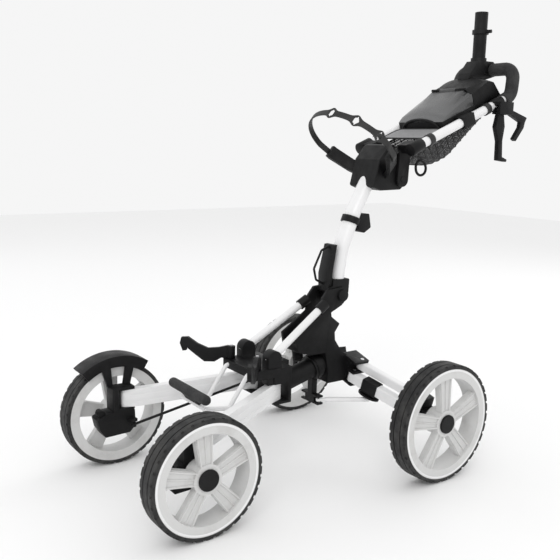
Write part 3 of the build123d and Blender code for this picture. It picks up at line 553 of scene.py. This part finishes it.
# ---- Rubber bag strap ----
# One moulded rubber band between the tips of the upper bag arms. On the left half it widens into
# three bosses with an oval hole, for the hook.
strap_rubber = Finish("moulded_strap_rubber")
strap_rubber.set(
    Base_Color=strap_rubber.blend(
        strap_rubber.clamp(strap_rubber.noise(30, 5), 0.4, 0.7), rgb(0.008, 0.008, 0.008),
        rgb(0.024, 0.024, 0.024)
    ),
    Roughness=strap_rubber.clamp(strap_rubber.noise(120, 3), 0.3, 0.7, 0.5, 0.66),
)
strap_rubber.bump(strap_rubber.noise(900, 3), 0.2, 0.0004)
STRAP_ORIGIN = Vector((0, 0.106266, 0.815))
STRAP_DOWN = Vector((0, 0.773, -0.634))
STRAP_OUT = Vector((0, 0.634, 0.773))
HOOK_END = ((0.137, -0.035), (0.1286, -0.006), (0.1266, 0.007), (0.116, 0.0215))
BOSS_ANGLES = (17, 49, 81)
run = [(-x, y) for x, y in reversed(HOOK_END)]
for degree in range(176, 0, -4):
    angle = math.radians(degree)
    run.append((0.137 * math.cos(angle), -0.035 - 0.125 * math.sin(angle)))
run += list(HOOK_END)
along = [0.0]
for (x0, y0), (x1, y1) in zip(run, run[1:]):
    along.append(along[-1] + math.hypot(x1 - x0, y1 - y0))
strap_length = along[-1]


def strap_place(distance):
    """The point at a distance along the strap's middle line."""
    k = 0
    while k < len(along) - 2 and along[k + 1] < distance:
        k += 1
    share = (distance - along[k]) / (along[k + 1] - along[k])
    x = run[k][0] + share * (run[k + 1][0] - run[k][0])
    y = run[k][1] + share * (run[k + 1][1] - run[k][1])
    return Vector((x, 0, 0)) + STRAP_DOWN * y


bosses = []
for degree in BOSS_ANGLES:
    angle = math.radians(degree)
    spot = Vector((0.137 * math.cos(angle), -0.035 - 0.125 * math.sin(angle)))
    near = min(range(len(run)), key=lambda k: (Vector(run[k]) - spot).length)
    bosses.append(along[near])
bpy.ops.object.select_all(action="DESELECT")
bpy.ops.mesh.primitive_grid_add(x_subdivisions=190, y_subdivisions=8, size=1)
strap = bpy.context.object
strap.name = "rubber_bag_strap"
for v in strap.data.vertices:
    distance = (v.co.x + 0.5) * strap_length
    half = 0.0085 + sum(0.0085 * math.exp(-(((distance - b) / 0.0105) ** 2)) for b in bosses)
    v.co = strap_place(distance) + STRAP_OUT * (v.co.y * 2 * half)
holes = [strap_place(b) for b in bosses]


def in_hole(centre, normal):
    for hole in holes:
        gap = centre - hole
        across = gap.dot(STRAP_OUT)
        if (across / 0.0108) ** 2 + (gap - STRAP_OUT * across).length_squared / 0.0066 ** 2 < 1:
            return True
    return False


pick_faces(strap, in_hole)
bpy.ops.mesh.delete(type="FACE")
bpy.ops.object.mode_set(mode="OBJECT")
apply_modifier(strap, "thickness", "SOLIDIFY", thickness=0.0038, offset=0)
apply_modifier(strap, "round", "SUBSURF", levels=1, render_levels=1)
strap.location = STRAP_ORIGIN
finish_piece(strap, strap_rubber, 60)
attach(strap, "upright")
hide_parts("bag_strap")


# ---- Console lid and tray ----
# Moulded shells with a crowned top. The lid has a dark satin grey skin, painted lighter at its
# front as a highlight, and the tray and hood behind it are plain black.
deck_origin = Vector((0, 0.197266, 0.828))
deck_along = Vector((0, 0.926, 0.378)).normalized()
deck_up = Vector((0, -0.378, 0.926)).normalized()


def on_deck(x, along_tubes, above):
    """A point by its distance along the handle tubes and its height above them."""
    return deck_origin + Vector((x, 0, 0)) + deck_along * along_tubes + deck_up * above


satin = Finish("satin_grey_lid")
heights = satin.parts()
# Painted highlight: the lid's colour runs from light grey at its front to near black towards the
# hinge, standing in for the sheen of the light on it.
front_highlight_mask = satin.clamp(heights[1] * 0.926 + heights[2] * 0.378, 0.62, 0.8)
painted_front_highlight = satin.blend(front_highlight_mask, rgb(0.12, 0.121, 0.123), rgb(0.02, 0.02, 0.021))
haze = satin.clamp(satin.noise(11, 5), 0.5, 0.8)
satin.set(
    Base_Color=satin.blend(haze, painted_front_highlight, rgb(0.06, 0.06, 0.061)),
    Roughness=satin.clamp(satin.noise(45, 3), 0.3, 0.7, 0.24, 0.36),
    Coat_Weight=0.3,
)
satin.bump(satin.noise(1600, 2), 0.06, 0.0003)
CROWN = 0.014
HINGE_ALONG = 0.287
HINGE_ABOVE = 0.07


def crowned_copy(node, finish):
    piece = copy_solid(node, node + "_crowned")
    bpy.ops.object.mode_set(mode="EDIT")
    for x in (-72, -60, -48, -32, -16, 0, 16, 32, 48, 60, 72):
        bpy.ops.mesh.select_all(action="SELECT")
        bpy.ops.mesh.bisect(plane_co=(x / 1000, 0, 0), plane_no=(1, 0, 0))
    bpy.ops.object.mode_set(mode="OBJECT")
    for v in piece.data.vertices:
        above = (v.co - deck_origin).dot(deck_up)
        behind = (v.co - deck_origin).dot(deck_along) - HINGE_ALONG
        if abs(v.co.x) < 0.0625 and math.hypot(behind, above - HINGE_ABOVE) < 0.0095:
            continue
        lift = min(max((above - 0.022) / 0.03, 0), 1)
        v.co -= deck_up * CROWN * lift * min(abs(v.co.x) / 0.084, 1) ** 2.4
    bpy.ops.object.mode_set(mode="EDIT")
    bpy.ops.mesh.select_all(action="SELECT")
    bpy.ops.mesh.dissolve_limited(angle_limit=math.radians(0.5))
    bpy.ops.object.mode_set(mode="OBJECT")
    apply_modifier(
        piece, "edge radius", "BEVEL", width=0.0025, segments=3, limit_method="ANGLE",
        angle_limit=math.radians(38), use_clamp_overlap=True,
    )
    finish_piece(piece, finish, 40)
    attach(piece, body_of[node])
    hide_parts(node)


# The hinge's knuckles stay round and straight, so the crown leaves them out.
crowned_copy("console_lid", satin)
crowned_copy("console_tray", black)


def tube_piece(name, points, radius, finish, closed=False):
    """A round bar along a smooth line through the given points, as a mesh."""
    line = bpy.data.curves.new(name, "CURVE")
    line.dimensions = "3D"
    line.bevel_depth = radius
    line.bevel_resolution = 3
    line.resolution_u = 6
    line.use_fill_caps = True
    spline = line.splines.new("NURBS")
    spline.points.add(len(points) - 1)
    for point, at in zip(spline.points, points):
        point.co = (*at, 1)
    spline.order_u = 3
    spline.use_cyclic_u = closed
    spline.use_endpoint_u = not closed
    bar = bpy.data.objects.new(name, line)
    bpy.context.scene.collection.objects.link(bar)
    bpy.ops.object.select_all(action="DESELECT")
    bar.select_set(True)
    bpy.context.view_layer.objects.active = bar
    bpy.ops.object.convert(target="MESH")
    bar = bpy.context.object
    finish_piece(bar, finish, 50)
    return bar


arch = [on_deck(0.07 * math.cos(a), 0.1485, -0.006 + 0.036 * math.sin(a) ** 0.8)
        for a in [math.pi * k / 16 for k in range(1, 16)]]
lip = tube_piece("console_arch_lip", arch, 0.0042, black)
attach(lip, "handle")


# ---- Mesh basket ----
# A polyester net bag slung under the handle tubes: a fine dark net that sags between its piped rim
# and its ribs. Four webbing loops hold it round the tubes.
net = Finish("dark_basket_net")
spread = net.add("ShaderNodeUVMap", {"uv_map": "UVMap"})
split = net.add("ShaderNodeSeparateXYZ", None, {"Vector": spread}).socket.node.outputs
u, v_across = Flow(net, split[0]), Flow(net, split[1])
fold_u = net.add("ShaderNodeMath", {"operation": "PINGPONG"}, {0: u * 96 + v_across * 40, 1: 0.5})
fold_v = net.add("ShaderNodeMath", {"operation": "PINGPONG"}, {0: u * 96 - v_across * 40, 1: 0.5})
thread = net.add("ShaderNodeMath", {"operation": "MAXIMUM"}, {0: fold_u < 0.3, 1: fold_v < 0.3})
net.set(
    Base_Color=net.blend(net.noise(16, 4), rgb(0.01, 0.01, 0.011), rgb(0.045, 0.045, 0.046)),
    Roughness=net.clamp(net.noise(60), 0.3, 0.7, 0.6, 0.8),
    Alpha=thread,
)
net.bump(fold_u * fold_v, 0.4, 0.0005)
DEPTHS = (
    (48, 0), (50, 14), (56, 34), (70, 52), (92, 69), (130, 74), (168, 74), (212, 58), (256, 41),
    (300, 24), (326, 12), (335, 0),
)


def basket_depth(s):
    for (s0, d0), (s1, d1) in zip(DEPTHS, DEPTHS[1:]):
        if s <= s1:
            return d0 + (d1 - d0) * (s - s0) / (s1 - s0)
    return 0


def basket_point(s, turn, grow=0.0):
    """A point on the sagging bag: s along the tubes, turn from 0 at one rim to pi at the other."""
    c, d = math.cos(turn), math.sin(turn)
    x = math.copysign(abs(c) ** 0.42, c) * (77 + grow)
    return on_deck(x / 1000, s / 1000, (-15 - (basket_depth(s) + grow) * abs(d) ** 0.5) / 1000)


bpy.ops.object.select_all(action="DESELECT")
bpy.ops.mesh.primitive_grid_add(x_subdivisions=64, y_subdivisions=40, size=1, calc_uvs=True)
bag = bpy.context.object
bag.name = "net_basket"
for v in bag.data.vertices:
    v.co = basket_point(48 + (v.co.x + 0.5) * 287, (v.co.y + 0.5) * math.pi)
apply_modifier(bag, "sag", "SMOOTH", factor=0.4, iterations=2)
finish_piece(bag, net, 60)
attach(bag, "handle")
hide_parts("mesh_basket")

ribs = []
for k in range(11):
    start = 62 + 24 * k
    points = []
    for j in range(21):
        turn = math.pi * j / 20
        points.append(basket_point(min(max(start + 26 * math.sin(turn), 49), 334), turn, 0.4))
    ribs.append(tube_piece(f"basket_rib_{k}", points, 0.0016, strap_rubber))
rim_line = [basket_point(s, 0.0) for s in range(52, 334, 20)]
rim_line += [basket_point(s, math.pi) for s in range(332, 50, -20)]
ribs.append(tube_piece("basket_rim", rim_line, 0.0032, strap_rubber, closed=True))
for side in (-1, 1):
    for s in (64, 304):
        bpy.ops.object.select_all(action="DESELECT")
        bpy.ops.mesh.primitive_cylinder_add(
            vertices=32, radius=0.0152, depth=0.018, end_fill_type="NOTHING",
            location=on_deck(side * 0.1, s / 1000 + 0.009, 0),
            rotation=deck_along.to_track_quat("Z", "Y").to_euler(),
        )
        loop = bpy.context.object
        loop.name = f"basket_loop_{'left' if side > 0 else 'right'}_{s}"
        apply_modifier(loop, "webbing", "SOLIDIFY", thickness=0.002, offset=0)
        apply_modifier(loop, "worn", "BEVEL", width=0.0005, segments=2)
        finish_piece(loop, strap_rubber, 40)
        ribs.append(loop)
bpy.ops.object.select_all(action="DESELECT")
for rib in ribs:
    rib.select_set(True)
bpy.context.view_layer.objects.active = ribs[0]
bpy.ops.object.join()
trim = bpy.context.object
trim.name = "basket_trim"
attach(trim, "handle")


# ---- Grey net panel in front of the console ----
# A light grey woven panel stretched between the tubes, with a black bound edge.
weave = Finish("grey_panel_weave")
across = weave.parts()
warp = weave.add("ShaderNodeMath", {"operation": "PINGPONG"}, {0: across[0] * 420, 1: 0.5})
weft = weave.add("ShaderNodeMath", {"operation": "PINGPONG"}, {0: across[1] * 450, 1: 0.5})
weave.set(
    Base_Color=weave.blend(warp * weft * 4, rgb(0.2, 0.2, 0.205), rgb(0.5, 0.5, 0.505)),
    Roughness=weave.clamp(weave.noise(50), 0.3, 0.7, 0.7, 0.88),
)
weave.bump(warp * weft, 0.6, 0.0006)
PANEL_WIDTH = 0.164
PANEL_LENGTH = 0.072
bpy.ops.object.select_all(action="DESELECT")
bpy.ops.mesh.primitive_grid_add(x_subdivisions=24, y_subdivisions=12, size=1)
panel = bpy.context.object
panel.name = "grey_net_panel"
for v in panel.data.vertices:
    x, y = v.co.x * 2, v.co.y * 2
    dip = 0.006 * (1 - x ** 2) * (1 - y ** 2)
    v.co = on_deck(x * PANEL_WIDTH / 2, 0.108 + y * PANEL_LENGTH / 2, 0.004 - dip)
apply_modifier(panel, "cloth", "SOLIDIFY", thickness=0.0016, offset=0)
finish_piece(panel, weave, 60)
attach(panel, "handle")
edge_line = [on_deck(x, s, 0.004) for x, s in (
    (-0.082, 0.072), (-0.04, 0.072), (0.04, 0.072), (0.082, 0.072), (0.084, 0.1), (0.082, 0.144),
    (0.04, 0.1445), (-0.04, 0.1445), (-0.082, 0.144), (-0.084, 0.1),
)]
binding = tube_piece("panel_binding", edge_line, 0.0024, strap_rubber, closed=True)
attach(binding, "handle")


# ---- Hook loop under the basket's front ----
# A small black loop for a towel or a bag, fixed under the basket's front edge.
hook_line = [Vector((0.075, y, z)) for y, z in (
    (0.243, 0.79), (0.246, 0.768), (0.262, 0.758), (0.28, 0.764), (0.285, 0.78), (0.276, 0.794),
    (0.258, 0.802),
)]
hook = tube_piece("towel_hook_loop", hook_line, 0.0036, black, closed=True)
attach(hook, "handle")
